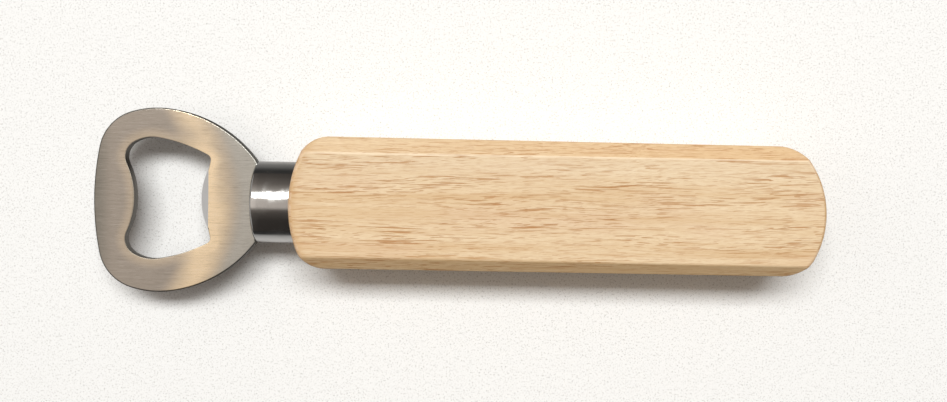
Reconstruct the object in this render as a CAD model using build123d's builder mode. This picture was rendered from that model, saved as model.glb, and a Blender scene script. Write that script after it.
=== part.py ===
from build123d import *
from math import sqrt
import os

# A hand-held crown-cap opener: a stamped stainless head whose tang runs through a drawn
# steel ferrule into a chamfered hardwood handle, and cured epoxy that locks the three together.
# Millimetres. +X runs from the head to the butt of the handle, +Z is up, and the handle's
# flat underside lies on Z = 0.

# Overall layout along X
OVERALL_LENGTH = 150.0
HEAD_TIP_X = -OVERALL_LENGTH / 2
FERRULE_FACE_X = -40.8
HANDLE_FRONT_X = -32.7
BUTT_X = OVERALL_LENGTH / 2

# Handle, whose two top chamfers are unequal, as hand sanding left them. It sits a little to the
# left of the bores' axis, and the apexes of its domed ends lie a little to the right of its middle.
HANDLE_HEIGHT = 20.0
HANDLE_OFFSET_Y = 0.35
FRONT_WIDTH = 26.9
BUTT_WIDTH = 26.2
LEFT_TOP_CHAMFER = 3.2
RIGHT_TOP_CHAMFER = 2.6
BOTTOM_CHAMFER = 2.9
FRONT_END_RADIUS = 25.0
FRONT_END_CENTRE_Y = -0.6
FRONT_CORNER_RADIUS = 6.0
BUTT_END_RADIUS = 18.8
BUTT_END_CENTRE_Y = -0.8
BUTT_CORNER_RADIUS = 7.0
HANDLE_EASING = 0.5
AXIS_Z = HANDLE_HEIGHT / 2

# Ferrule
FERRULE_RADIUS = 8.5
FERRULE_WALL = 0.9
FERRULE_FRONT_WALL = 1.1
FERRULE_RIM_RADIUS = 0.6
FERRULE_SEAT = 6.0
SLOT_CLEARANCE = 0.1

# Bores in the handle
GLUE_FILM = 0.1
FILM_START_X = HANDLE_FRONT_X + 2.2
SOCKET_END_GAP = 0.4
TANG_BORE_RADIUS = 5.8
TANG_BORE_DEPTH = 39.0

# Head plate: half of the outline is a run of tangent arcs, each (radius, turn in degrees).
# The last, the shoulder, overshoots and is cut off where it meets the ferrule.
PLATE_THICKNESS = 2.5
OUTLINE_ARCS = [(56.0, -11.5), (9.6, -61.0), (19.4, -25.0), (27.0, -50.0)]
PLATE_EASING = 0.4

# Cap hole: half of it is a run of tangent arcs from the cap rest round a lobe to the corner
HOLE_CENTRE_Y = 0.4
CAP_REST_X = -66.5
HOLE_ARCS = [(16.4, 25.4), (3.6, -84.5), (7.8, -40.6), (35.0, -19.2)]
HOLE_CORNER_RADIUS = 1.1
HOLE_EASING = 0.5
HOLE_HALF_HEIGHT = 13.0
HOLE_LOBE_SPREAD = 3.0

# Lifting lip, which a slanted cut thins from the plate's top face down to its tip
LIP_ROOT_X = -50.95
LIP_TIP_X = -52.8
LIP_HALF_WIDTH = 6.2
LIP_TIP_THICKNESS = 0.9
CUT_OVERRUN = 1.0

# Tang
TANG_WIDTH = 10.0
TANG_END_X = 2.0
TANG_END_CHAMFER = 2.0
NOTCH_RADIUS = 1.2
NOTCH_COUNT = 4
NOTCH_PITCH = 6.5
NOTCH_SHIFT_X = 4.0
KEY_HOLE_RADIUS = 1.8

plate_bottom_z = AXIS_Z - PLATE_THICKNESS / 2
plate_top_z = AXIS_Z + PLATE_THICKNESS / 2
ferrule_end_x = HANDLE_FRONT_X + FERRULE_SEAT
ferrule_bore = FERRULE_RADIUS - FERRULE_WALL
socket_end_x = ferrule_end_x + SOCKET_END_GAP
socket_radius = FERRULE_RADIUS + GLUE_FILM
tang_bore_end_x = HANDLE_FRONT_X + TANG_BORE_DEPTH
tang_length = TANG_END_X - FERRULE_FACE_X
tang_middle_x = (TANG_END_X + FERRULE_FACE_X) / 2
long_axis = Axis((0, 0, AXIS_Z), (1, 0, 0))


def tangent_arcs(start, arcs):
    """Draw arcs that follow on from each other without a kink, and return where they end."""
    heading = (0, 1)
    for radius, turn in arcs:
        arc = JernArc(start=start, tangent=heading, radius=radius, arc_size=turn)
        start = arc @ 1
        heading = arc % 1
    return start


def end_sag(radius, offset):
    """How far a domed end of this radius falls back at this distance from its apex."""
    return radius - sqrt(radius**2 - offset**2)


def is_cap_rest_edge(edge):
    """True for an edge of the cap hole from one of its right-hand corners round to the other."""
    middle = edge.center()
    across = abs(middle.Y - HOLE_CENTRE_Y)
    return CAP_REST_X - HOLE_LOBE_SPREAD < middle.X < LIP_TIP_X and across < HOLE_HALF_HEIGHT


# The head: a blanked plate with the cap hole, the lifting lip and an integral tang
with BuildPart() as opener_head:
    with BuildSketch(Plane.XY.offset(plate_bottom_z)):
        with BuildLine():
            outline_end = tangent_arcs((HEAD_TIP_X, 0), OUTLINE_ARCS)
            Polyline(outline_end, (outline_end.X, 0), (HEAD_TIP_X, 0))
        make_face()
        mirror(about=Plane.XZ)
        split(bisect_by=Plane(origin=(FERRULE_FACE_X, 0, 0), z_dir=(-1, 0, 0)))
    extrude(amount=PLATE_THICKNESS)
    flat_faces = opener_head.faces().filter_by(Axis.Z)
    outer_rim = flat_faces.edges().filter_by(lambda edge: edge.center().X < FERRULE_FACE_X - PLATE_EASING)
    fillet(outer_rim, radius=PLATE_EASING)

    # Cap hole, whose right-hand side is the arc of the lip
    with BuildSketch(Plane((0, HOLE_CENTRE_Y, plate_bottom_z))) as cap_hole:
        with BuildLine():
            corner = tangent_arcs((CAP_REST_X, 0), HOLE_ARCS)
            Line(corner, (LIP_ROOT_X, LIP_HALF_WIDTH))
            TangentArc((LIP_TIP_X, 0), (LIP_ROOT_X, LIP_HALF_WIDTH), tangent=(0, 1))
            Line((LIP_TIP_X, 0), (CAP_REST_X, 0))
        make_face()
        mirror(about=Plane.XZ)
        fillet(cap_hole.vertices().group_by(Axis.X)[-1], HOLE_CORNER_RADIUS)
    extrude(amount=PLATE_THICKNESS, mode=Mode.SUBTRACT)

    # The hole's edges are eased all round but for the lip, which keeps its bite
    cap_rest_side = opener_head.faces().filter_by(Axis.Z).edges().filter_by(is_cap_rest_edge)
    fillet(cap_rest_side, radius=HOLE_EASING)

    # The slanted cut on the lip
    with BuildSketch(Plane.XZ.offset(-HOLE_CENTRE_Y)):
        slope = (plate_top_z - plate_bottom_z - LIP_TIP_THICKNESS) / (LIP_ROOT_X - LIP_TIP_X)
        reach = 0.5
        with BuildLine():
            Polyline(
                (LIP_ROOT_X, plate_top_z),
                (LIP_TIP_X - reach, plate_bottom_z + LIP_TIP_THICKNESS - reach * slope),
                (LIP_TIP_X - reach, plate_top_z),
                close=True,
            )
        make_face()
    extrude(amount=LIP_HALF_WIDTH + CUT_OVERRUN, both=True, mode=Mode.SUBTRACT)

    # Tang, notched and pierced so that the epoxy keys into it
    with BuildSketch(Plane.XY.offset(plate_bottom_z)) as tang:
        with Locations((tang_middle_x, 0)):
            Rectangle(tang_length, TANG_WIDTH)
        chamfer(tang.vertices().group_by(Axis.X)[-1], TANG_END_CHAMFER)
        with Locations((tang_middle_x + NOTCH_SHIFT_X, 0)):
            with GridLocations(NOTCH_PITCH, TANG_WIDTH, NOTCH_COUNT, 2):
                Circle(NOTCH_RADIUS, mode=Mode.SUBTRACT)
            Circle(KEY_HOLE_RADIUS, mode=Mode.SUBTRACT)
    extrude(amount=PLATE_THICKNESS)

# The ferrule: a drawn cup with a slot for the tang in its front wall
with BuildPart() as ferrule:
    with BuildSketch(Plane.XZ) as ferrule_profile:
        with BuildLine():
            Polyline(
                (FERRULE_FACE_X, AXIS_Z),
                (FERRULE_FACE_X, AXIS_Z + FERRULE_RADIUS),
                (ferrule_end_x, AXIS_Z + FERRULE_RADIUS),
                (ferrule_end_x, AXIS_Z + ferrule_bore),
                (FERRULE_FACE_X + FERRULE_FRONT_WALL, AXIS_Z + ferrule_bore),
                (FERRULE_FACE_X + FERRULE_FRONT_WALL, AXIS_Z),
                close=True,
            )
        make_face()
        rim_corner = ferrule_profile.vertices().group_by(Axis.X)[0].sort_by(Axis.Y)[-1]
        fillet(rim_corner, FERRULE_RIM_RADIUS)
    revolve(axis=long_axis)
    with BuildSketch(Plane.YZ.offset(FERRULE_FACE_X)):
        with Locations((0, AXIS_Z)):
            Rectangle(TANG_WIDTH + 2 * SLOT_CLEARANCE, PLATE_THICKNESS + 2 * SLOT_CLEARANCE)
    extrude(amount=FERRULE_FRONT_WALL, mode=Mode.SUBTRACT)

# The handle: a bar with chamfered long edges, cut to a shallow dome at the head end and a
# rounder one at the butt
with BuildPart() as handle:
    # The section is drawn too wide, so that the plan's outline cuts its sides
    spread = 3.0
    half = FRONT_WIDTH / 2
    section_origin = (HANDLE_FRONT_X, HANDLE_OFFSET_Y, 0)
    with BuildSketch(Plane(origin=section_origin, x_dir=(0, 1, 0), z_dir=(1, 0, 0))):
        with BuildLine():
            Polyline(
                (half - LEFT_TOP_CHAMFER, HANDLE_HEIGHT),
                (half + spread, HANDLE_HEIGHT - LEFT_TOP_CHAMFER - spread),
                (half + spread, BOTTOM_CHAMFER + spread),
                (half - BOTTOM_CHAMFER, 0),
                (-half + BOTTOM_CHAMFER, 0),
                (-half - spread, BOTTOM_CHAMFER + spread),
                (-half - spread, HANDLE_HEIGHT - RIGHT_TOP_CHAMFER - spread),
                (-half + RIGHT_TOP_CHAMFER, HANDLE_HEIGHT),
                close=True,
            )
        make_face()
    extrude(amount=BUTT_X - HANDLE_FRONT_X)

    with BuildSketch(Plane((0, HANDLE_OFFSET_Y, 0))) as plan:
        butt_half = BUTT_WIDTH / 2
        front_left_x = HANDLE_FRONT_X + end_sag(FRONT_END_RADIUS, half - FRONT_END_CENTRE_Y)
        front_right_x = HANDLE_FRONT_X + end_sag(FRONT_END_RADIUS, -half - FRONT_END_CENTRE_Y)
        butt_left_x = BUTT_X - end_sag(BUTT_END_RADIUS, butt_half - BUTT_END_CENTRE_Y)
        butt_right_x = BUTT_X - end_sag(BUTT_END_RADIUS, -butt_half - BUTT_END_CENTRE_Y)
        with BuildLine():
            front_left = (front_left_x, half)
            front_right = (front_right_x, -half)
            butt_left = (butt_left_x, butt_half)
            butt_right = (butt_right_x, -butt_half)
            ThreePointArc(front_left, (HANDLE_FRONT_X, FRONT_END_CENTRE_Y), front_right)
            Line(front_right, butt_right)
            ThreePointArc(butt_right, (BUTT_X, BUTT_END_CENTRE_Y), butt_left)
            Line(butt_left, front_left)
        make_face()
        fillet(plan.vertices().filter_by(lambda v: v.X < 0), FRONT_CORNER_RADIUS)
        fillet(plan.vertices().filter_by(lambda v: v.X > 0), BUTT_CORNER_RADIUS)
    extrude(amount=HANDLE_HEIGHT, mode=Mode.INTERSECT)
    fillet(handle.edges(), HANDLE_EASING)

    # Socket for the ferrule, and the deeper bore for the tang
    with BuildSketch(Plane.YZ.offset(HANDLE_FRONT_X - CUT_OVERRUN)):
        with Locations((0, AXIS_Z)):
            Circle(socket_radius)
    extrude(amount=socket_end_x - HANDLE_FRONT_X + CUT_OVERRUN, mode=Mode.SUBTRACT)
    with BuildSketch(Plane.YZ.offset(HANDLE_FRONT_X)):
        with Locations((0, AXIS_Z)):
            Circle(TANG_BORE_RADIUS)
    extrude(amount=TANG_BORE_DEPTH, mode=Mode.SUBTRACT)

# Cured epoxy: it fills the ferrule and the tang bore, and films the socket's wall
with BuildPart() as epoxy_fill:
    with BuildSketch(Plane.XZ):
        with BuildLine():
            Polyline(
                (FERRULE_FACE_X + FERRULE_FRONT_WALL, AXIS_Z),
                (FERRULE_FACE_X + FERRULE_FRONT_WALL, AXIS_Z + ferrule_bore),
                (ferrule_end_x, AXIS_Z + ferrule_bore),
                (ferrule_end_x, AXIS_Z + FERRULE_RADIUS),
                (FILM_START_X, AXIS_Z + FERRULE_RADIUS),
                (FILM_START_X, AXIS_Z + socket_radius),
                (socket_end_x, AXIS_Z + socket_radius),
                (socket_end_x, AXIS_Z + TANG_BORE_RADIUS),
                (tang_bore_end_x, AXIS_Z + TANG_BORE_RADIUS),
                (tang_bore_end_x, AXIS_Z),
                close=True,
            )
        make_face()
    revolve(axis=long_axis)
    add(opener_head.part, mode=Mode.SUBTRACT)

os.makedirs("parts", exist_ok=True)

opener_head.part.label = "opener_head"
export_step(opener_head.part, "parts/opener_head.step")

ferrule.part.label = "ferrule"
export_step(ferrule.part, "parts/ferrule.step")

handle.part.label = "handle"
export_step(handle.part, "parts/handle.step")

epoxy_fill.part.label = "epoxy_fill"
export_step(epoxy_fill.part, "parts/epoxy_fill.step")

for piece in (opener_head, ferrule, handle, epoxy_fill):
    print(f"{piece.part.label}: {piece.part.volume:.1f} mm3, valid {piece.part.is_valid}")
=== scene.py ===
# %% [markdown]
# # A wooden-handled bottle opener
# The tool has a stamped steel head, a polished ferrule and a chamfered hardwood handle, held
# together by epoxy that nobody sees. The CAD model fixes every size. Here each visible piece is
# built again as a finer mesh in the same place, and gets a finish with real surface detail.

import math

import bmesh
import bpy
from mathutils import Matrix, Vector
from mathutils.kdtree import KDTree


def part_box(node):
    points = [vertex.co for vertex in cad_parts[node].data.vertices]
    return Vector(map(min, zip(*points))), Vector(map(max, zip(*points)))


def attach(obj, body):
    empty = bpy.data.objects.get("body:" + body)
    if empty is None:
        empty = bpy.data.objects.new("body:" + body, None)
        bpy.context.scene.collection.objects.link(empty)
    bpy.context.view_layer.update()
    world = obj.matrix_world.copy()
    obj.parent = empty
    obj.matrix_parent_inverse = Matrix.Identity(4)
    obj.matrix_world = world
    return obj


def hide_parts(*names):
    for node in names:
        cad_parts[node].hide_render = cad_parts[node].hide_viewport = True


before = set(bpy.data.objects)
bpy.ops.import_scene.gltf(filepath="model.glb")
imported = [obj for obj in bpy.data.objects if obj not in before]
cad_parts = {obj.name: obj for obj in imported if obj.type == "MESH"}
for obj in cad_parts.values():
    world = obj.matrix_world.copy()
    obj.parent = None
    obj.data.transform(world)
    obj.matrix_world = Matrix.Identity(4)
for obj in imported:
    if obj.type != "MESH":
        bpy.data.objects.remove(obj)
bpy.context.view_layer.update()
print("CAD nodes:", sorted(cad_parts))

# %% [markdown]
# ## Sizes
# Lengths are in metres, as everywhere in Blender, so millimetres are written as a number times
# MM. The places of the pieces are read from the boxes of the CAD nodes, and only what a box
# can't tell, such as the radii and turns of the curves, is written out.

# %% Sizes read from the CAD nodes
MM = 0.001
WELD = 0.001 * MM
NEAR = 0.01 * MM

head_low, head_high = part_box("opener_head")
ferrule_low, ferrule_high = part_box("ferrule")
handle_low, handle_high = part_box("handle")

axis_z = (ferrule_low.z + ferrule_high.z) / 2
ferrule_radius = (ferrule_high.z - ferrule_low.z) / 2
plate_thickness = head_high.z - head_low.z
print(f"head {head_high.x - head_low.x:.4f} m long, plate {plate_thickness:.4f} m thick")
print(f"ferrule radius {ferrule_radius:.4f} m, axis {axis_z:.4f} m above the table")

# %% [markdown]
# ## Drawing with arcs
# A stamped outline is a run of arcs that flow into each other. A curve object with Bezier
# handles could draw it, but its handles say nothing about radii. Spinning one vertex about each
# arc's centre gives true arcs, with the number of steps under control.

# %% Helpers that draw and close outlines
UP = Vector((0, 0, 1))


def spin_arcs(bm, vertex, heading, arcs):
    """Extend an edge chain from vertex by (radius, turn in degrees, steps); return its end."""
    for radius, turn, steps in arcs:
        side = math.copysign(1, turn)
        to_centre = Vector((-heading.y, heading.x, 0)) * side
        spun = bmesh.ops.spin(
            bm, geom=[vertex], cent=vertex.co + to_centre * radius, axis=UP,
            angle=math.radians(turn), steps=steps,
        )
        vertex = next(item for item in spun["geom_last"] if isinstance(item, bmesh.types.BMVert))
        heading = heading.copy()
        heading.rotate(Matrix.Rotation(math.radians(turn), 3, "Z"))
    return vertex


def run_line(bm, vertex, target, steps):
    """Extend an edge chain in a straight line to target in equal steps; return its end."""
    step = (Vector(target) - vertex.co) / steps
    for _ in range(steps):
        grown = bmesh.ops.extrude_vert_indiv(bm, verts=[vertex])
        vertex = grown["verts"][0]
        bmesh.ops.translate(bm, verts=[vertex], vec=step)
    return vertex


def mirror_chain(bm, centre_y=0.0):
    """Add the chain's reflection in the plane Y = centre_y, and weld the two ends."""
    to_mirror = Matrix.Translation((0, -centre_y, 0))
    bmesh.ops.mirror(bm, geom=bm.verts[:] + bm.edges[:], matrix=to_mirror, axis="Y", merge_dist=WELD)
    bmesh.ops.remove_doubles(bm, verts=bm.verts, dist=WELD)


def finish_piece(name, bm, node, sharp_degrees=30):
    """Turn a bmesh into an object that stands for a CAD node and rides on the root body."""
    bmesh.ops.recalc_face_normals(bm, faces=bm.faces)
    mesh = bpy.data.meshes.new(name)
    bm.to_mesh(mesh)
    bm.free()
    mesh.shade_smooth()
    mesh.set_sharp_from_angle(angle=math.radians(sharp_degrees))
    piece = bpy.data.objects.new(name, mesh)
    bpy.context.scene.collection.objects.link(piece)
    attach(piece, "root")
    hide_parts(node)
    print(f"{name}: {len(mesh.vertices)} vertices, {len(mesh.polygons)} faces")
    return piece


def carve(bm, cutter):
    """Cut one closed bmesh out of another with an exact Boolean; return the result."""
    objects = []
    for label, source in (("carved", bm), ("cutter", cutter)):
        bmesh.ops.recalc_face_normals(source, faces=source.faces)
        mesh = bpy.data.meshes.new(label)
        source.to_mesh(mesh)
        source.free()
        made = bpy.data.objects.new(label, mesh)
        bpy.context.scene.collection.objects.link(made)
        objects.append(made)
    body, tool = objects
    cut = body.modifiers.new("cut", "BOOLEAN")
    cut.operation = "DIFFERENCE"
    cut.solver = "EXACT"
    cut.object = tool
    bpy.context.view_layer.update()
    graph = bpy.context.evaluated_depsgraph_get()
    mesh = bpy.data.meshes.new_from_object(body.evaluated_get(graph))
    result = bmesh.new()
    result.from_mesh(mesh)
    bpy.data.meshes.remove(mesh)
    for made in objects:
        spare = made.data
        bpy.data.objects.remove(made)
        bpy.data.meshes.remove(spare)
    return result


def add_rod(bm, start, direction, radius, length, segments=64):
    """Add a closed cylinder that begins at start and runs along direction."""
    turn = Vector(direction).to_track_quat("Z", "Y").to_matrix().to_4x4()
    middle = Vector(start) + Vector(direction).normalized() * length / 2
    bmesh.ops.create_cone(
        bm, cap_ends=True, segments=segments, radius1=radius, radius2=radius, depth=length,
        matrix=Matrix.Translation(middle) @ turn,
    )


# %% [markdown]
# ## The head
# The head is one blank of stainless sheet. Its face isn't dead flat: tumbling and brushing roll
# it off towards the hole and the rim, and that soft slope is what catches the light. So the face
# is made as a ring of quads, by bridging the outline to the cap hole, which gives rows of
# vertices that follow both. A Boolean would leave one big polygon that can't be rolled off.

# %% Outline of the head
OUTLINE_ARCS = [(56.0 * MM, -11.5, 18), (9.6 * MM, -61.0, 17), (19.4 * MM, -25.0, 13)]
SHOULDER_ARC = (27.0 * MM, -46.3, 35)
TANG_HALF = 5.0 * MM
NORTH = Vector((0, 1, 0))

head = bmesh.new()
tip = bmesh.ops.create_vert(head, co=(head_low.x, 0, 0))["vert"][0]
shoulder_end = spin_arcs(head, tip, NORTH, [*OUTLINE_ARCS, SHOULDER_ARC])
shoulder_end.co.x = ferrule_low.x
tang_root = run_line(head, shoulder_end, (ferrule_low.x, TANG_HALF, 0), steps=5)
run_line(head, tang_root, (ferrule_low.x, 0, 0), steps=8)
mirror_chain(head)
outline_points = [vert.co.copy() for vert in head.verts]
print(f"outline: {len(head.edges)} edges")

# %% [markdown]
# The cap hole has a bulge that rests on the cap, a lobe on each side of it, and a straight side
# for the lip. Its chain has as many steps as the outline, so that the bridge between them is all
# quads.

# %% Cap hole
HOLE_CENTRE_Y = 0.4 * MM
CAP_REST_X = head_low.x + 8.5 * MM
HOLE_ARCS = [(16.4 * MM, 25.4, 18), (3.6 * MM, -84.5, 15), (7.8 * MM, -40.6, 13)]
HOLE_SHOULDER = [(35.0 * MM, -17.8, 24), (1.1 * MM, -76.3, 6)]
LIP_ROOT_X = head_low.x + 24.05 * MM
LIP_TIP_X = head_low.x + 22.2 * MM
LIP_HALF = 6.2 * MM

hole = bmesh.new()
rest = bmesh.ops.create_vert(hole, co=(CAP_REST_X, HOLE_CENTRE_Y, 0))["vert"][0]
corner = spin_arcs(hole, rest, NORTH, [*HOLE_ARCS, *HOLE_SHOULDER])
lip_root = run_line(hole, corner, (LIP_ROOT_X, HOLE_CENTRE_Y + LIP_HALF, 0), steps=5)
run_line(hole, lip_root, (LIP_ROOT_X, HOLE_CENTRE_Y, 0), steps=15)
mirror_chain(hole, HOLE_CENTRE_Y)
hole_points = [vert.co.copy() for vert in hole.verts]
print(f"cap hole: {len(hole.edges)} edges")

# %% [markdown]
# bridge_loops joins the two closed chains with quads, and cuts across those quads add the rows.
# The flat ring is then extruded down to the plate's thickness. The wall of the ring that faces
# the ferrule is extruded back into the tang, and the faces it grew from are deleted, because the
# operator leaves them inside.

# %% Bridge, thicken and add the tang
ROWS_ACROSS = 19
TANG_CHAMFER = 2.0 * MM
plate_top = axis_z + plate_thickness / 2
plate_bottom = axis_z - plate_thickness / 2

hole_mesh = bpy.data.meshes.new("hole_chain")
hole.to_mesh(hole_mesh)
hole.free()
head.from_mesh(hole_mesh)
bpy.data.meshes.remove(hole_mesh)
bmesh.ops.bridge_loops(head, edges=head.edges[:])
across = [edge for edge in head.edges if len(edge.link_faces) == 2]
bmesh.ops.subdivide_edges(head, edges=across, cuts=ROWS_ACROSS)
bmesh.ops.translate(head, verts=head.verts, vec=(0, 0, plate_top))
grown = bmesh.ops.extrude_face_region(head, geom=head.faces[:])
lower = [item for item in grown["geom"] if isinstance(item, bmesh.types.BMVert)]
bmesh.ops.translate(head, verts=lower, vec=(0, 0, -plate_thickness))
bmesh.ops.recalc_face_normals(head, faces=head.faces)

tang_faces = [
    face for face in head.faces
    if face.calc_center_median().x > ferrule_low.x - NEAR
    and abs(face.calc_center_median().y) < TANG_HALF
]
grown = bmesh.ops.extrude_face_region(head, geom=tang_faces)
bmesh.ops.delete(head, geom=tang_faces, context="FACES")
tang_end = [item for item in grown["geom"] if isinstance(item, bmesh.types.BMVert)]
bmesh.ops.translate(head, verts=tang_end, vec=(head_high.x - ferrule_low.x, 0, 0))
for vert in tang_end:
    vert.co.x -= max(0.0, abs(vert.co.y) - (TANG_HALF - TANG_CHAMFER))
print(f"head blank: {len(head.faces)} faces")

# %% [markdown]
# The lip is coined into the hole's straight side: a slanted cut from the top face thins it to a
# blunt blade that stands out in an arc. The hole's wall gets one more row, and the rows under
# the top edge are moved out to that arc, the upper one to the slant's lower edge. A search tree
# of the outline's points tells which vertices belong to the wall.

# %% Lifting lip
LIP_TIP_THICKNESS = 0.9 * MM
HOLE_ROLL = 0.05 * MM
SLANT_GAP = 0.02 * MM
lip_reach = LIP_ROOT_X - LIP_TIP_X
lip_arc_radius = (LIP_HALF**2 + lip_reach**2) / (2 * lip_reach)


def plan_tree(points):
    """Make a search tree of the points of an outline."""
    tree = KDTree(len(points))
    for index, point in enumerate(points):
        tree.insert(point, index)
    tree.balance()
    return tree


def plan_distance(tree, point):
    """Distance in plan from an outline to a point."""
    return tree.find(Vector((point.x, point.y, 0)))[2]


hole_tree = plan_tree(hole_points)
wall_edges = [
    edge for edge in head.edges
    if abs(edge.verts[0].co.z - edge.verts[1].co.z) > plate_thickness / 2
    and plan_distance(hole_tree, edge.verts[0].co) < NEAR
]
bmesh.ops.subdivide_edges(head, edges=wall_edges, cuts=1)
slant_top = plate_top - HOLE_ROLL - SLANT_GAP
slant_drop = slant_top - plate_bottom - LIP_TIP_THICKNESS
for vert in head.verts:
    across_lip = abs(vert.co.y - HOLE_CENTRE_Y)
    below_face = vert.co.z < plate_top - NEAR
    if abs(vert.co.x - LIP_ROOT_X) < NEAR and across_lip < LIP_HALF + NEAR and below_face:
        middle_row = vert.co.z > plate_bottom + NEAR
        vert.co.x = LIP_TIP_X + lip_arc_radius - math.sqrt(lip_arc_radius**2 - across_lip**2)
        if middle_row:
            vert.co.z = slant_top - slant_drop * (LIP_ROOT_X - vert.co.x) / lip_reach
print(f"lip stands out {lip_reach / MM:.2f} mm on an arc of {lip_arc_radius / MM:.2f} mm")

# %% [markdown]
# Now the soft slopes. Each vertex of the two faces sinks by a parabola of its distance from the
# hole or the rim, a falloff that proportional editing would give by hand. Then the edges
# themselves are broken with a small bevel, but for the lip, which has to bite.

# %% Roll the faces off and break the edges
HOLE_ROLL_WIDTH = 2.4 * MM
RIM_ROLL = 0.02 * MM
RIM_ROLL_WIDTH = 2.2 * MM
RIM_BEVEL = 0.26 * MM
HOLE_BEVEL = 0.28 * MM
LEVEL = 0.05 * MM
EDGE_REACH = 0.5 * MM
REST_REACH = 3.0 * MM

rim_tree = plan_tree([point for point in outline_points if point.x < ferrule_low.x - NEAR])


def roll(distance, depth, width):
    """How far a face has sunk at this distance from its rolled edge."""
    return depth * max(0.0, 1 - distance / width) ** 2


for vert in head.verts:
    on_top = vert.co.z > plate_top - NEAR
    on_bottom = vert.co.z < plate_bottom + NEAR
    if vert.co.x < ferrule_low.x + NEAR and (on_top or on_bottom):
        hole_sink = roll(plan_distance(hole_tree, vert.co), HOLE_ROLL, HOLE_ROLL_WIDTH)
        rim_sink = roll(plan_distance(rim_tree, vert.co), RIM_ROLL, RIM_ROLL_WIDTH)
        sink = hole_sink + rim_sink
        vert.co.z += -sink if on_top else sink


def bevel_edges(bm, edges, width, segments=4):
    """Round the given edges of a bmesh."""
    bmesh.ops.bevel(
        bm, geom=edges, offset=width, offset_type="OFFSET", segments=segments,
        affect="EDGES", profile=0.5, material=-1, clamp_overlap=True,
    )


def is_corner(edge, degrees=50):
    """True where two faces meet at more than this angle."""
    return len(edge.link_faces) == 2 and edge.calc_face_angle(0) > math.radians(degrees)


head.normal_update()
flat_corners = [
    edge for edge in head.edges
    if is_corner(edge) and abs(edge.verts[0].co.z - edge.verts[1].co.z) < LEVEL
]
rim_edges = []
hole_edges = []
for edge in flat_corners:
    middle = (edge.verts[0].co + edge.verts[1].co) / 2
    if max(vert.co.x for vert in edge.verts) > ferrule_low.x + NEAR:
        continue
    if plan_distance(rim_tree, middle) < EDGE_REACH and middle.x < ferrule_low.x - NEAR:
        rim_edges.append(edge)
    off_the_lip = abs(middle.y - HOLE_CENTRE_Y) > LIP_HALF or middle.x < CAP_REST_X + REST_REACH
    if plan_distance(hole_tree, middle) < EDGE_REACH and off_the_lip:
        hole_edges.append(edge)
bevel_edges(head, rim_edges, RIM_BEVEL)
bevel_edges(head, [edge for edge in hole_edges if edge.is_valid], HOLE_BEVEL)
print(f"broken edges: {len(rim_edges)} on the rim, {len(hole_edges)} in the hole")

# %% [markdown]
# Inside the handle the tang has notches along both sides and one hole, where the epoxy keys in.
# Here a Boolean is the right tool, because round holes cross the tang's flat faces and nothing
# of it is bent afterwards. The head also keeps the distance from the hole on its vertices, which
# its finish reads to place a painted warm highlight.

# %% Notches, key hole and finished head
NOTCH_RADIUS = 1.2 * MM
NOTCH_PITCH = 6.5 * MM
NOTCH_COUNT = 4
NOTCH_SHIFT = 4.0 * MM
KEY_HOLE_RADIUS = 1.8 * MM
tang_middle = (head_high.x + ferrule_low.x) / 2 + NOTCH_SHIFT

drills = bmesh.new()
below = axis_z - plate_thickness
for step in range(NOTCH_COUNT):
    notch_x = tang_middle + (step - (NOTCH_COUNT - 1) / 2) * NOTCH_PITCH
    for side_y in (-TANG_HALF, TANG_HALF):
        add_rod(drills, (notch_x, side_y, below), UP, NOTCH_RADIUS, 2 * plate_thickness, 24)
add_rod(drills, (tang_middle, 0, below), UP, KEY_HOLE_RADIUS, 2 * plate_thickness, 32)
head = carve(head, drills)

from_hole = head.verts.layers.float.new("from_hole")
for vert in head.verts:
    vert[from_hole] = plan_distance(hole_tree, vert.co)
steel_head = finish_piece("steel_head", head, "opener_head")

# %% [markdown]
# ## The ferrule
# The ferrule is a deep-drawn cup. Its half section is drawn once and spun about the long axis,
# as a lathe would cut it, so the rolled rim comes out round without any bevel. A Boolean cuts the
# slot for the tang.

# %% Ferrule
RIM_RADIUS = 0.6 * MM
FERRULE_WALL = 0.9 * MM
FRONT_WALL = 1.1 * MM
SLOT_CLEARANCE = 0.1 * MM
TURNS = 128
bore = ferrule_radius - FERRULE_WALL

cup = bmesh.new()
at = bmesh.ops.create_vert(cup, co=(ferrule_low.x, 0, 0))["vert"][0]
at = run_line(cup, at, (ferrule_low.x, ferrule_radius - RIM_RADIUS, 0), steps=6)
at = spin_arcs(cup, at, NORTH, [(RIM_RADIUS, -90.0, 8)])
at = run_line(cup, at, (ferrule_high.x, ferrule_radius, 0), steps=12)
at = run_line(cup, at, (ferrule_high.x, bore, 0), steps=1)
at = run_line(cup, at, (ferrule_low.x + FRONT_WALL, bore, 0), steps=6)
run_line(cup, at, (ferrule_low.x + FRONT_WALL, 0, 0), steps=3)
bmesh.ops.spin(
    cup, geom=cup.verts[:] + cup.edges[:], cent=(0, 0, 0), axis=(1, 0, 0),
    angle=math.tau, steps=TURNS, use_merge=True,
)
bmesh.ops.remove_doubles(cup, verts=cup.verts, dist=WELD)
bmesh.ops.translate(cup, verts=cup.verts, vec=(0, 0, axis_z))

slot = bmesh.new()
bmesh.ops.create_cube(slot, size=1)
slot_size = (4 * FRONT_WALL, 2 * (TANG_HALF + SLOT_CLEARANCE), plate_thickness + 2 * SLOT_CLEARANCE)
bmesh.ops.scale(slot, verts=slot.verts, vec=slot_size)
bmesh.ops.translate(slot, verts=slot.verts, vec=(ferrule_low.x, 0, axis_z))
cup = carve(cup, slot)
steel_ferrule = finish_piece("steel_ferrule", cup, "ferrule")

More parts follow.
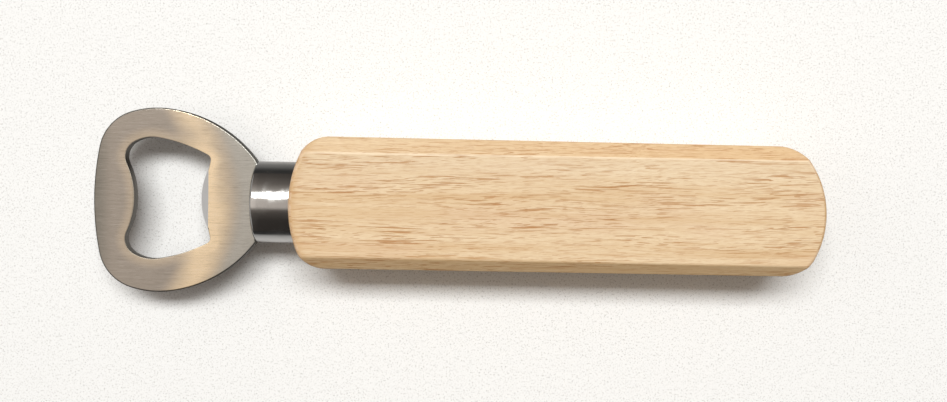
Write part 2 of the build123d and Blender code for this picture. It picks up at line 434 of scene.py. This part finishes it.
# %% [markdown]
# ## The handle
# A block that is sanded by hand keeps flat faces, but every edge goes round, a little more at the
# head end than at the butt. A bevel tool would trip over the short edges where the chamfers
# meet the rounded ends. So the handle is made the other way about: first a leaner block, smaller
# by the radius of its edges, then a ball of that radius on each of its corners, and a skin drawn
# tight over all the balls.

# %% Lean block
OFFSET_Y = 0.35 * MM
FRONT_WIDTH = 26.9 * MM
BUTT_WIDTH = 26.2 * MM
FRONT_DOME = 25.0 * MM
FRONT_DOME_Y = -0.6 * MM
FRONT_CORNER = 6.0 * MM
BUTT_DOME = 18.8 * MM
BUTT_DOME_Y = -0.8 * MM
BUTT_CORNER = 7.0 * MM
TOP_LEFT_CHAMFER = 3.2 * MM
TOP_RIGHT_CHAMFER = 2.6 * MM
LOWER_CHAMFER = 2.9 * MM
POINT_MERGE = 0.02 * MM
CHAMFERS = [
    (1, TOP_LEFT_CHAMFER, 1), (-1, TOP_RIGHT_CHAMFER, 1), (1, LOWER_CHAMFER, -1),
    (-1, LOWER_CHAMFER, -1),
]


def dome_turn(dome, corner, half):
    """Degrees of a domed end, up to where its corner begins."""
    return math.degrees(math.asin((half - corner) / (dome - corner)))


def draw_side(bm, apex, side, lean):
    """Draw one side of the plan, lean inside its true size, from the butt to the head end."""
    butt_turn = dome_turn(BUTT_DOME, BUTT_CORNER, BUTT_WIDTH / 2 - side * BUTT_DOME_Y)
    front_turn = dome_turn(FRONT_DOME, FRONT_CORNER, FRONT_WIDTH / 2 - side * FRONT_DOME_Y)
    reach = (FRONT_DOME - FRONT_CORNER) * math.cos(math.radians(front_turn))
    corner_x = handle_low.x + FRONT_DOME - reach
    butt_arcs = [
        (BUTT_DOME - lean, side * butt_turn, 10), (BUTT_CORNER - lean, side * (90 - butt_turn), 18)
    ]
    front_arcs = [
        (FRONT_CORNER - lean, side * (90 - front_turn), 18), (FRONT_DOME - lean, side * front_turn, 10)
    ]
    at = spin_arcs(bm, apex, NORTH * side, butt_arcs)
    at = run_line(bm, at, (corner_x, side * (FRONT_WIDTH / 2 - lean), 0), steps=1)
    spin_arcs(bm, at, Vector((-1, 0, 0)), front_arcs)


def lean_block(lean):
    """The handle's block with every face moved inwards by lean."""
    bm = bmesh.new()
    apex = bmesh.ops.create_vert(bm, co=(handle_high.x - lean, BUTT_DOME_Y, 0))["vert"][0]
    draw_side(bm, apex, 1, lean)
    draw_side(bm, apex, -1, lean)
    bmesh.ops.remove_doubles(bm, verts=bm.verts, dist=POINT_MERGE)
    bmesh.ops.contextual_create(bm, geom=bm.edges[:])
    bmesh.ops.translate(bm, verts=bm.verts, vec=(0, 0, lean))
    grown = bmesh.ops.extrude_face_region(bm, geom=bm.faces[:])
    upper = [item for item in grown["geom"] if isinstance(item, bmesh.types.BMVert)]
    bmesh.ops.translate(bm, verts=upper, vec=(0, 0, handle_high.z - 2 * lean))
    for side, size, way in CHAMFERS:
        edge_z = handle_high.z if way > 0 else 0
        inset = size + lean * math.sqrt(2)
        cut = bmesh.ops.bisect_plane(
            bm, geom=bm.verts[:] + bm.edges[:] + bm.faces[:],
            plane_co=(0, side * (FRONT_WIDTH / 2 - inset), edge_z), plane_no=(0, side, way),
            clear_outer=True,
        )
        loop = [item for item in cut["geom_cut"] if isinstance(item, bmesh.types.BMEdge)]
        bmesh.ops.contextual_create(bm, geom=loop)
    bmesh.ops.translate(bm, verts=bm.verts, vec=(0, OFFSET_Y, 0))
    return bm


# %% [markdown]
# convex_hull draws the skin. Between a large ball at the head end and a small one at the butt it
# runs as a cone, so the long edges grow crisper along the handle. Flat stretches of the skin are
# then joined back into single faces. The bores are drilled last. A Weighted Normal modifier lets
# the large flat faces set the shading of the narrow round ones beside them.

# %% Balls, skin and bores
HEAD_END_ROUNDING = 1.15 * MM
BUTT_ROUNDING = 0.75 * MM
BALL_SEGMENTS = 32
FLAT_DEGREES = 0.4
GLUE_FILM = 0.1 * MM
SOCKET_END_GAP = 0.4 * MM
TANG_BORE_RADIUS = 5.8 * MM
TANG_BORE_DEPTH = 39.0 * MM
DRILL_OVERRUN = 1.0 * MM

skin = bmesh.new()
for rounding, at_head_end in ((HEAD_END_ROUNDING, True), (BUTT_ROUNDING, False)):
    block = lean_block(rounding)
    corners = [vert.co.copy() for vert in block.verts if (vert.co.x < 0) == at_head_end]
    block.free()
    ball = bmesh.new()
    bmesh.ops.create_uvsphere(
        ball, u_segments=BALL_SEGMENTS, v_segments=BALL_SEGMENTS // 2, radius=rounding,
    )
    bmesh.ops.delete(ball, geom=ball.edges[:], context="EDGES_FACES")
    ball_mesh = bpy.data.meshes.new("ball")
    ball.to_mesh(ball_mesh)
    ball.free()
    for corner_point in corners:
        ball_mesh.transform(Matrix.Translation(corner_point))
        skin.from_mesh(ball_mesh)
        ball_mesh.transform(Matrix.Translation(-corner_point))
    bpy.data.meshes.remove(ball_mesh)
    print(f"{len(corners)} balls of {rounding / MM:.2f} mm")
hull = bmesh.ops.convex_hull(skin, input=skin.verts)
inside = [item for item in hull["geom_interior"] if isinstance(item, bmesh.types.BMVert)]
bmesh.ops.delete(skin, geom=inside, context="VERTS")
bmesh.ops.dissolve_limit(
    skin, angle_limit=math.radians(FLAT_DEGREES), verts=skin.verts, edges=skin.edges,
)

start_x = handle_low.x - DRILL_OVERRUN
bores = (
    (ferrule_radius + GLUE_FILM, ferrule_high.x + SOCKET_END_GAP, 128),
    (TANG_BORE_RADIUS, handle_low.x + TANG_BORE_DEPTH, 64),
)
for radius, end_x, segments in bores:
    drill = bmesh.new()
    add_rod(drill, (start_x, 0, axis_z), (1, 0, 0), radius, end_x - start_x, segments)
    skin = carve(skin, drill)
print(f"handle volume {skin.calc_volume() * 1e6:.1f} cm3")
wood_handle = finish_piece("wood_handle", skin, "handle", sharp_degrees=50)
weighted = wood_handle.modifiers.new("flat faces stay flat", "WEIGHTED_NORMAL")
weighted.keep_sharp = True

# %% [markdown]
# ## Finishes
# The finishes are solid textures: they read the object's own coordinates, so the grain runs
# through the wood and meets at every edge, as it does in a real board. Shader sums read best as
# sums, so a Field wraps a socket, and arithmetic on Fields adds the Math nodes.

# %% Field and Finish
class Field:
    """A value that varies over a surface; arithmetic on it adds Math nodes."""

    def __init__(self, finish, socket):
        self.finish = finish
        self.socket = socket

    def sum_of(self, operation, first, second):
        return self.finish.add("ShaderNodeMath", {"operation": operation}, {0: first, 1: second})

    def __add__(self, other):
        return self.sum_of("ADD", self, other)

    def __sub__(self, other):
        return self.sum_of("SUBTRACT", self, other)

    def __rsub__(self, other):
        return self.sum_of("SUBTRACT", other, self)

    def __mul__(self, other):
        return self.sum_of("MULTIPLY", self, other)

    def __truediv__(self, other):
        return self.sum_of("DIVIDE", self, other)

    def __abs__(self):
        return self.sum_of("ABSOLUTE", self, 0.0)

    __radd__ = __add__
    __rmul__ = __mul__


class Finish:
    """A material, or the world, that is built one node at a time."""

    def __init__(self, tree):
        self.tree = tree

    def add(self, kind, settings=None, sockets=None, output=0):
        """Add a node, with its settings first and then its sockets' values or links."""
        node = self.tree.nodes.new(kind)
        for name, value in (settings or {}).items():
            if name == "stops":
                self.set_stops(node.color_ramp, value)
            else:
                setattr(node, name, value)
        for name, value in (sockets or {}).items():
            self.feed(node.inputs[name], value)
        return Field(self, node.outputs[output])

    def set_stops(self, ramp, stops):
        """Give a ramp its (position, grey) stops."""
        while len(ramp.elements) < len(stops):
            ramp.elements.new(1.0)
        for element, (position, grey) in zip(ramp.elements, stops):
            element.position = position
            element.color = (grey, grey, grey, 1)

    def feed(self, socket, value):
        """Link a Field to a socket, or set the socket's own value."""
        if isinstance(value, Field):
            self.tree.links.new(value.socket, socket)
        else:
            socket.default_value = value

    def place(self, scale=(1, 1, 1), shift=(0, 0, 0), bend=None):
        """The object's own coordinates in metres, bent and scaled so that a pattern stretches."""
        here = self.add("ShaderNodeTexCoord", output="Object")
        if bend is not None:
            here = self.add("ShaderNodeVectorMath", {"operation": "ADD"}, {0: here, 1: bend})
        return self.add("ShaderNodeMapping", {}, {"Vector": here, "Scale": scale, "Location": shift})

    def noise(self, cell, shift=(0, 0, 0), detail=2.0, roughness=0.5, bend=None):
        """Noise whose cells have these three sizes in millimetres."""
        scale = [1 / (size * MM) for size in cell]
        sockets = {
            "Vector": self.place(scale, shift, bend), "Scale": 1.0, "Detail": detail,
            "Roughness": roughness,
        }
        return self.add("ShaderNodeTexNoise", {}, sockets)

    def band(self, value, low, high):
        """0 below low, 1 above high, and a smooth step between; low may be the larger."""
        settings = {"interpolation_type": "SMOOTHSTEP", "clamp": True}
        return self.add("ShaderNodeMapRange", settings, {"Value": value, 1: low, 2: high})

    def mix(self, share, first, second, blend="MIX"):
        """Mix two colours."""
        settings = {"data_type": "RGBA", "blend_type": blend}
        return self.add("ShaderNodeMix", settings, {0: share, 6: first, 7: second}, output=2)

    def attribute(self, name):
        """A number stored on the piece's vertices."""
        return self.add("ShaderNodeAttribute", {"attribute_name": name}, output="Fac")

    def split(self, vector, axis):
        """One coordinate of a vector."""
        return self.add("ShaderNodeSeparateXYZ", {}, {"Vector": vector}, output=axis)


class SurfaceFinish(Finish):
    """A Principled material."""

    def __init__(self, name, **constants):
        self.material = bpy.data.materials.new(name)
        self.material.use_nodes = True
        super().__init__(self.material.node_tree)
        self.shader = self.tree.nodes["Principled BSDF"]
        for socket, value in constants.items():
            self.shader.inputs[socket.replace("_", " ")].default_value = value

    def surface(self, socket, value):
        """Feed one of the shader's sockets."""
        self.feed(self.shader.inputs[socket], value)

    def relief(self, height, depth):
        """Raise the surface by height, from 0 to 1, times depth in millimetres."""
        sockets = {"Height": height, "Distance": depth * MM, "Strength": 1.0}
        self.surface("Normal", self.add("ShaderNodeBump", {}, sockets))

    def put_on(self, piece):
        """Make this the only material of a piece."""
        piece.data.materials.clear()
        piece.data.materials.append(self.material)
        print(f"{self.material.name} on {piece.name}: {len(self.tree.nodes)} nodes")


# %% [markdown]
# The handle is a pale, straight-grained hardwood. What the eye reads as grain is the vessels:
# thin brown dashes along the board, crowded in places, on a ground of much finer fibre. Wider
# tone bands follow the growth rings. A flat picture of wood wrapped round the block would not
# meet at its edges. So each layer is noise stretched along X, whose cell sizes are given in
# millimetres. A slow sideways drift keeps the grain from being ruled lines, and the short
# vessels also run a little aslant.

# %% Grain of the hardwood
DRIFT_CELL = (26, 7, 7)
RING_CELL = (60, 2.2, 3.0)
TONE_CELL = (24, 6.0, 8.0)
FIBRE_CELL = (2.4, 0.13, 0.13)
LONG_VESSEL_CELL = (9.0, 0.28, 0.30)
SHORT_VESSEL_CELL = (3.4, 0.20, 0.20)
CROWD_CELL = (30, 3.0, 5.0)
WANDER = 1.6 * MM
VESSEL_SLANT = 0.06

hardwood = SurfaceFinish("pale hardwood", IOR=1.45, Specular_IOR_Level=0.35)
in_wood = hardwood.place()
drift = (hardwood.noise(DRIFT_CELL, (0, 0, 1.7), detail=1.0) - 0.5) * WANDER
slant = hardwood.split(in_wood, "X") * VESSEL_SLANT
wander = hardwood.add("ShaderNodeCombineXYZ", {}, {"Y": drift, "Z": drift})
slanted = hardwood.add("ShaderNodeCombineXYZ", {}, {"Y": drift - slant, "Z": drift})

rings = hardwood.noise(RING_CELL, (3.1, 0, 0), detail=3.0, roughness=0.6, bend=wander)
tone = hardwood.noise(TONE_CELL, (0, 4.7, 0), detail=1.0)
fibre = hardwood.noise(FIBRE_CELL, (0, 0, 9.3), detail=2.0, roughness=0.8, bend=wander)
long_dashes = hardwood.noise(LONG_VESSEL_CELL, (7.7, 0, 0), detail=1.0, roughness=0.6, bend=wander)
short_dashes = hardwood.noise(SHORT_VESSEL_CELL, (0, 8.1, 0), detail=1.0, roughness=0.6, bend=slanted)
crowding = hardwood.noise(CROWD_CELL, (0, 2.9, 0), detail=1.0, bend=slanted)
crowded = hardwood.band(crowding, 0.34, 0.62)
long_vessels = hardwood.band(long_dashes, 0.59, 0.63) * (0.25 + 0.75 * crowded)
short_vessels = hardwood.band(short_dashes, 0.60, 0.65) * (0.45 + 0.55 * crowded)
print(f"grain: {len(hardwood.tree.nodes)} nodes")

# %% [markdown]
# The layers become colour from the widest to the finest: rings, a pinkish tone, a paler painted
# sheen along the left side, fibre, and the vessels on top.

# %% Colour of the board
WOOD_LIGHT = (0.86, 0.70, 0.48, 1)
WOOD_DEEP = (0.74, 0.54, 0.32, 1)
WOOD_PINK = (0.79, 0.59, 0.41, 1)
PALE_SHEEN = (0.86, 0.72, 0.52, 1)
WOOD_FIBRE = (0.66, 0.445, 0.235, 1)
VESSEL = (0.47, 0.215, 0.07, 1)
PINK_SHARE = 0.5
PALE_SHEEN_SHARE = 0.65
FIBRE_SHARE = 0.55
LONG_VESSEL_SHARE = 0.78
SHORT_VESSEL_SHARE = 0.65

in_ring = hardwood.band(rings, 0.34, 0.68)
board_tone = hardwood.mix(in_ring, WOOD_LIGHT, WOOD_DEEP)
board_tone = hardwood.mix(hardwood.band(tone, 0.45, 0.75) * PINK_SHARE, board_tone, WOOD_PINK)
# Painted sheen: a paler band along the left side of the top face.
painted_sheen_band = hardwood.band(hardwood.split(in_wood, "Y"), 3 * MM, 9 * MM)
board_tone = hardwood.mix(painted_sheen_band * PALE_SHEEN_SHARE, board_tone, PALE_SHEEN)
board_tone = hardwood.mix(hardwood.band(fibre, 0.32, 0.72) * FIBRE_SHARE, board_tone, WOOD_FIBRE)
grained = hardwood.mix(long_vessels * LONG_VESSEL_SHARE, board_tone, VESSEL)
grained = hardwood.mix(short_vessels * SHORT_VESSEL_SHARE, grained, VESSEL)
print(f"colour: {len(hardwood.tree.nodes)} nodes")

# %% [markdown]
# The colour isn't the same all round. Faces that turn sideways get painted shade, a little darker
# and deeper in tone, the ridge along the left gets a painted highlight, and the ends show browner
# end grain. A browner band also lies just inside the domed edge at the head's end. The vessels
# are shallow grooves too, so they go into the relief.

# %% Sides and ends of the board
LEFT_SHADE_TINT = (0.97, 0.87, 0.75, 1)
RIGHT_SHADE_TINT = (0.86, 0.80, 0.70, 1)
RIDGE_HIGHLIGHT = (0.97, 0.83, 0.62, 1)
END_GRAIN = (0.60, 0.37, 0.165, 1)
RIDGE_HIGHLIGHT_SHARE = 0.5
FRONT_EDGE_SHARE = 0.5
END_SHARE = 0.80
END_VESSEL_SHARE = 0.75
FRONT_EDGE_WIDTH = 2.4 * MM
FRONT_EDGE_START = 0.3 * MM
WOOD_RELIEF = 0.03

facing = hardwood.add("ShaderNodeTexCoord", output="Normal")
turned_left = hardwood.split(facing, "Y")
along_handle = hardwood.split(in_wood, "X")
towards_butt = hardwood.band(along_handle, handle_low.x, handle_high.x)
# Painted shade: faces that turn sideways are made darker and deeper in tone.
left_side_shade = hardwood.band(turned_left, 0.2, 0.7) * (0.35 + 0.75 * towards_butt)
right_side_shade = hardwood.band(turned_left, -0.2, -0.7)
# Painted highlight along the ridge on the left.
ridge_highlight = hardwood.band(turned_left, 0.02, 0.14) * hardwood.band(turned_left, 0.52, 0.34)
grained = hardwood.mix(left_side_shade, grained, hardwood.mix(1.0, grained, LEFT_SHADE_TINT, "MULTIPLY"))
grained = hardwood.mix(right_side_shade, grained, hardwood.mix(1.0, grained, RIGHT_SHADE_TINT, "MULTIPLY"))
grained = hardwood.mix(ridge_highlight * RIDGE_HIGHLIGHT_SHARE, grained, RIDGE_HIGHLIGHT)

# A browner band just inside the domed edge at the head's end.
dome_x = along_handle - handle_low.x - FRONT_DOME
dome_y = hardwood.split(in_wood, "Y") - OFFSET_Y - FRONT_DOME_Y
edge_inner = (FRONT_DOME - FRONT_EDGE_WIDTH) ** 2
edge_outer = (FRONT_DOME - FRONT_EDGE_START) ** 2
front_edge = hardwood.band(dome_x * dome_x + dome_y * dome_y, edge_inner, edge_outer)
front_edge = front_edge * hardwood.band(dome_x, 0, -FRONT_DOME / 2)
grained = hardwood.mix(front_edge * FRONT_EDGE_SHARE, grained, END_GRAIN)
end_face = hardwood.band(abs(hardwood.split(facing, "X")), 0.06, 0.50)
grained = hardwood.mix(end_face * END_SHARE, grained, hardwood.mix(in_ring, END_GRAIN, WOOD_PINK))
grained = hardwood.mix(end_face * long_vessels * END_VESSEL_SHARE, grained, VESSEL)

hardwood.surface("Base Color", grained)
hardwood.surface("Roughness", 0.50 + 0.12 * fibre + 0.10 * long_vessels)
hardwood.relief(1.0 - 0.6 * long_vessels - 0.4 * short_vessels + 0.25 * fibre, WOOD_RELIEF)
hardwood.put_on(wood_handle)

# %% [markdown]
# The head is stainless sheet with a fine brushed grain along X. It is a metal, so its colour is
# all reflection, and tints paint light and shade on it: a warm painted sheen that bows across
# the head behind the hole, stronger on the right side, a faint painted warm highlight round the
# hole, a paler painted reflection towards the ferrule, and painted shade at the far end. The
# tints are bands of distance.

# %% Painted light and shade on the head
STEEL = (0.425, 0.395, 0.355, 1)
STEEL_WARM_SHEEN = (1.0, 0.84, 0.60, 1)
STEEL_COOL = (0.57, 0.575, 0.54, 1)
STEEL_END_SHADE = (0.27, 0.265, 0.24, 1)
CLOUD_CELL = (7.0, 5.0, 6.0)
WARM_BAND_X = head_low.x + 25.6 * MM
WARM_BAND_HALF = 6.2 * MM
WARM_BAND_BOW = 3.8 * MM
WARM_BAND_REACH = 15.0 * MM
END_SHADE_LENGTH = 4.5 * MM
HOLE_HIGHLIGHT_SHARE = 0.30

brushed = SurfaceFinish("brushed steel", Metallic=1.0)
on_head = brushed.place()
along_head = brushed.split(on_head, "X")
across_head = brushed.split(on_head, "Y") / WARM_BAND_REACH
from_band = along_head - WARM_BAND_X + across_head * across_head * WARM_BAND_BOW
cloud = brushed.noise(CLOUD_CELL, (0, 0, 5.0), detail=2.0)
right_side = brushed.band(across_head, 0.3, -0.8)
# Painted warm sheen: a reflection painted as a band that bows across the head behind the hole, stronger
# on the right side.
painted_warm_sheen = brushed.band(abs(from_band), WARM_BAND_HALF, 0.0) * (0.30 + 0.9 * cloud + 0.35 * right_side)
# Painted warm highlight along the edge of the hole.
hole_edge_highlight = brushed.band(brushed.attribute("from_hole"), 2.6 * MM, 0.2 * MM)
warm = brushed.add("ShaderNodeClamp", {}, {"Value": painted_warm_sheen + hole_edge_highlight * HOLE_HIGHLIGHT_SHARE})
# Painted shade: the far end of the head is darkened.
painted_end_shade = brushed.band(along_head, head_low.x + END_SHADE_LENGTH, head_low.x)
metal = brushed.mix(painted_end_shade, STEEL, STEEL_END_SHADE)
# Painted reflection: the metal beyond the band, towards the ferrule, is made paler.
metal = brushed.mix(brushed.band(from_band, 1 * MM, 7 * MM), metal, STEEL_COOL)
metal = brushed.mix(warm, metal, STEEL_WARM_SHEEN)
print(f"tints: {len(brushed.tree.nodes)} nodes")

# %% [markdown]
# The brushing is noise stretched along X in two widths. It lightens and darkens the metal line by
# line, and also goes into the roughness and the relief. The broken outer edge gets painted shade
# and is more matt than the face, and the slant of the lip gets a painted highlight.

# %% Brushed steel
COARSE_CELL = (9.0, 0.30, 4.0)
FINE_CELL = (2.0, 0.14, 4.0)
STEEL_SCRATCH = (0.24, 0.24, 0.23, 1)
STEEL_LIP_HIGHLIGHT = (0.93, 0.94, 0.95, 1)
STEEL_RIM_SHADE = (0.10, 0.095, 0.085, 1)
LIGHT_LINE_SHARE = 0.65
DARK_LINE_SHARE = 0.50
RIM_SHADE_SHARE = 0.9
LINE_RELIEF = 0.012

coarse_lines = brushed.noise(COARSE_CELL, (2.0, 0, 0), detail=4.0, roughness=0.75)
fine_lines = brushed.noise(FINE_CELL, (0, 3.0, 0), detail=3.0, roughness=0.8)
lines = coarse_lines * 0.45 + fine_lines * 0.55
light_lines = brushed.band(lines, 0.50, 0.68) * LIGHT_LINE_SHARE
dark_lines = brushed.band(lines, 0.50, 0.34) * DARK_LINE_SHARE
metal = brushed.mix(light_lines, metal, brushed.mix(1.0, metal, STEEL_SCRATCH, "SCREEN"))
metal = brushed.mix(dark_lines, metal, brushed.mix(1.0, metal, STEEL_COOL, "MULTIPLY"))

head_facing = brushed.add("ShaderNodeTexCoord", output="Normal")
rim_face = brushed.band(brushed.split(head_facing, "Z"), 0.998, 0.988)
lip_face = brushed.band(brushed.split(head_facing, "X"), -0.25, -0.5)
lip_face = lip_face * brushed.band(along_head, CAP_REST_X, LIP_TIP_X)
# Painted shade on the broken outer edge.
metal = brushed.mix(rim_face * RIM_SHADE_SHARE, metal, STEEL_RIM_SHADE)
# Painted highlight: the slant of the lip is made pale.
metal = brushed.mix(lip_face, metal, STEEL_LIP_HIGHLIGHT)

line_roughness = 0.11 + 0.05 * coarse_lines + 0.05 * fine_lines
brushed.surface("Base Color", metal)
brushed.surface("Roughness", line_roughness + 0.22 * rim_face + 0.2 * lip_face)
brushed.relief(0.5 * coarse_lines + 0.5 * fine_lines, LINE_RELIEF)
brushed.put_on(steel_head)

# %% [markdown]
# The ferrule was turned and buffed: nearly a mirror, with faint rings about its axis. The rings
# are noise squeezed along X, so that it changes from ring to ring but not around one. Smudges
# from handling dull it in patches, and a fine grit breaks up its highlight.

# %% Polished steel
TURNING_CELL = (0.10, 60, 60)
WIDE_TURNING_CELL = (0.9, 90, 90)
SMUDGE_CELL = (3.5, 3.5, 3.5)
GRIT_CELL = (0.24, 0.24, 0.24)
POLISHED = (0.63, 0.635, 0.63, 1)
POLISHED_DULL = (0.48, 0.485, 0.47, 1)
SMUDGE_SHARE = 0.5
TURNING_RELIEF = 0.009

polished = SurfaceFinish("polished steel", Metallic=1.0)
turning = polished.noise(TURNING_CELL, (0, 0, 0), detail=3.0, roughness=0.6)
wide_turning = polished.noise(WIDE_TURNING_CELL, (1.0, 0, 0), detail=2.0)
smudge = polished.noise(SMUDGE_CELL, (0, 2.0, 0), detail=3.0)
grit = polished.noise(GRIT_CELL, (0, 0, 4.0), detail=2.0, roughness=0.7)
dulled = polished.band(smudge, 0.45, 0.8) * SMUDGE_SHARE
polished.surface("Base Color", polished.mix(dulled, POLISHED, POLISHED_DULL))
polished.surface("Roughness", 0.07 + 0.07 * turning + 0.12 * polished.band(smudge, 0.45, 0.7))
polished.relief(0.2 * turning + 0.3 * wide_turning + 0.5 * grit, TURNING_RELIEF)
polished.put_on(steel_ferrule)

# %% [markdown]
# Nobody sees the epoxy unless the tool is taken apart. It stays the CAD node's mesh, and gets the
# amber of cured resin, cloudy with filler and with small bubbles.

# %% Cured epoxy
AMBER = (0.62, 0.40, 0.13, 1)
AMBER_CLOUDY = (0.78, 0.63, 0.38, 1)
FILLER_CELL = (3.0, 3.0, 3.0)
BUBBLE_CELL = (0.5, 0.5, 0.5)
PIT_DEPTH = 0.08

epoxy = SurfaceFinish("cured epoxy", IOR=1.55, Coat_Weight=0.3)
filler = epoxy.noise(FILLER_CELL, (0, 0, 0), detail=4.0)
bubbles = epoxy.noise(BUBBLE_CELL, (5.0, 0, 0), detail=0.0)
pits = epoxy.band(bubbles, 0.68, 0.74)
epoxy.surface("Base Color", epoxy.mix(epoxy.band(filler, 0.35, 0.7), AMBER, AMBER_CLOUDY))
epoxy.surface("Roughness", 0.28 + 0.2 * filler + 0.2 * pits)
epoxy.relief(1.0 - pits, PIT_DEPTH)
epoxy.put_on(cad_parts["epoxy_fill"])

# %% [markdown]
# ## Studio
# The table is a sheet of pale board with a faint speckle. It is stage, not part of the object,
# and it lies a hair below the plane that the handle rests on, so that the two faces never share
# one plane.

# %% Table
TABLE_SIZE = 6.0
TABLE_DROP = 0.05 * MM
BOARD = (0.948, 0.968, 0.975, 1)
BOARD_SPECK = (0.61, 0.62, 0.615, 1)
SPECK_CELL = (0.36, 0.36, 0.36)


def lay_sheet(name, drop):
    """Lay a large square sheet on the stage, this far below the plane the tool rests on."""
    bm = bmesh.new()
    bmesh.ops.create_grid(bm, x_segments=1, y_segments=1, size=TABLE_SIZE / 2)
    bmesh.ops.translate(bm, verts=bm.verts, vec=(0, 0, -drop))
    mesh = bpy.data.meshes.new(name)
    bm.to_mesh(mesh)
    bm.free()
    sheet = bpy.data.objects.new(name, mesh)
    bpy.context.scene.collection.objects.link(sheet)
    return sheet


board = SurfaceFinish("pale board", Roughness=0.7, Specular_IOR_Level=0.2)
specks = board.noise(SPECK_CELL, detail=2.0, roughness=0.75)
board.surface("Base Color", board.mix(board.band(specks, 0.50, 0.74), BOARD, BOARD_SPECK))
board.put_on(lay_sheet("table", TABLE_DROP))

# %% [markdown]
# Polished metal shows the whole room, so the room is part of its look. Its brightness follows
# the angle around the long axis: a soft grey ceiling and dark sides. It is brighter beyond the
# head's end and dark beyond the butt. Seen from low down, the head mirrors the far walls instead,
# which only reflections see lit. Camera rays see a pale backdrop, so that views from the side
# aren't taken in a cave.

# %% Room
BACKDROP = (0.86, 0.86, 0.85, 1)
DARK_TINT = (1.0, 0.96, 0.94, 1)
SKY_TINT = (1.0, 0.89, 0.80, 1)
FAR_END = (0.06, 0.055, 0.05, 1)
FAR_WALLS = (0.42, 0.40, 0.38, 1)
HEAD_END_GAIN = (1.7, 1.7, 1.7, 1)
CEILING = 0.48
ROOM_STOPS = [
    (0.00, 0.030), (0.22, 0.035), (0.34, 0.07), (0.385, 0.12), (0.43, CEILING), (0.53, CEILING),
    (0.58, CEILING), (0.68, 0.30), (0.80, 0.13), (0.93, 0.07), (1.00, 0.06),
]

world = bpy.data.worlds.new("studio room")
world.use_nodes = True
bpy.context.scene.world = world
room = Finish(world.node_tree)
direction = room.add("ShaderNodeTexCoord", output="Generated")
lengthways = room.split(direction, "X")
sideways = room.split(direction, "Y")
upward = room.split(direction, "Z")
angle = room.add("ShaderNodeMath", {"operation": "ARCTAN2"}, {0: sideways, 1: upward})
glow = room.add("ShaderNodeValToRGB", {"stops": ROOM_STOPS}, {"Fac": angle / math.pi + 0.5})
sky = room.mix(room.band(glow, 0.3, 0.05), glow, room.mix(1.0, glow, DARK_TINT, "MULTIPLY"))
sky = room.mix(room.band(lengthways, 0.35, 0.75), sky, FAR_END)
brighter = room.mix(1.0, sky, HEAD_END_GAIN, "MULTIPLY")
sky = room.mix(room.band(lengthways, -0.15, -0.30), sky, brighter)
sky = room.mix(1.0, sky, SKY_TINT, "MULTIPLY")
low_down = room.band(upward, 0.70, 0.55) * room.band(abs(lengthways), 0.33, 0.45)
mirrored = room.add("ShaderNodeLightPath", output="Is Glossy Ray")
sky = room.mix(low_down * mirrored, sky, FAR_WALLS)
seen = room.add("ShaderNodeLightPath", output="Is Camera Ray")
room.feed(world.node_tree.nodes["Background"].inputs["Color"], room.mix(seen, sky, BACKDROP))
print(f"room: {len(room.tree.nodes)} nodes")

# %% [markdown]
# The key light is a large softbox well above the table, tilted towards +Y. It draws the bright
# line along the ferrule and casts the short shadow beside the handle.

# %% Softbox
KEY_TILT = 20.7
KEY_DISTANCE = 1.7
KEY_LENGTH = 1.22
KEY_WIDTH = 0.36
KEY_RADIANCE = 18.6
KEY_COLOUR = (1.0, 0.99, 0.965)

key = bpy.data.lights.new("softbox", "AREA")
key.shape = "RECTANGLE"
key.size = KEY_LENGTH
key.size_y = KEY_WIDTH
key.energy = KEY_RADIANCE * math.pi * KEY_LENGTH * KEY_WIDTH
key.color = KEY_COLOUR
softbox = bpy.data.objects.new("softbox", key)
bpy.context.scene.collection.objects.link(softbox)
tilt = Matrix.Rotation(math.radians(-KEY_TILT), 4, "X")
softbox.matrix_world = tilt @ Matrix.Translation((0, 0, KEY_DISTANCE))
print(f"softbox {KEY_LENGTH} by {KEY_WIDTH} m, {KEY_DISTANCE} m away")

# %% [markdown]
# Shiny metal would also mirror the pale table as broad white stripes. In a studio, grey card is
# laid on both sides of it. Here one graded card lies just above the table, and only reflections
# see it, so it leaves the picture's ground and shadows alone.

# %% Graded card
CARD_GREYS = [
    (0.0, 0.04), (0.16, 0.36), (0.36, 0.62), (0.50, 0.60), (0.57, 0.48), (0.64, 0.22),
    (0.80, 0.08), (1.0, 0.04),
]
CARD_SPAN = 160 * MM
CARD_DROP = 0.02 * MM

graded_card = lay_sheet("graded_card", CARD_DROP)
graded_card.visible_camera = False
graded_card.visible_diffuse = False
graded_card.visible_shadow = False
graded_card.visible_transmission = False

card_finish = SurfaceFinish("graded card", Roughness=0.9, Specular_IOR_Level=0.0)
across_card = card_finish.split(card_finish.place(), "Y") / CARD_SPAN + 0.5
greys = card_finish.add("ShaderNodeValToRGB", {"stops": CARD_GREYS}, {"Fac": across_card})
card_finish.surface("Base Color", greys)
card_finish.put_on(graded_card)

# %% [markdown]
# ## Camera
# The camera hangs over the tool and looks almost straight down, a little turned, from about
# 20 cm away.

# %% Camera
EYE = Vector((7.37, 8.6, 219.3)) * MM
TARGET = Vector((4.48, 1.01, 10.0)) * MM
ROLL = 1.06
SENSOR = 36.0
FOCAL = 38.02

lens = bpy.data.cameras.new("camera")
lens.sensor_width = SENSOR
lens.lens = FOCAL
camera = bpy.data.objects.new("camera", lens)
bpy.context.scene.collection.objects.link(camera)
backward = (EYE - TARGET).normalized()
picture_up = Vector((-math.sin(math.radians(ROLL)), math.cos(math.radians(ROLL)), 0))
picture_right = picture_up.cross(backward).normalized()
picture_up = backward.cross(picture_right)
turn = Matrix((picture_right, picture_up, backward)).transposed().to_4x4()
camera.matrix_world = Matrix.Translation(EYE) @ turn
bpy.context.scene.camera = camera
bpy.context.scene.view_settings.view_transform = "Standard"
print(f"camera {EYE.z:.3f} m above the table")
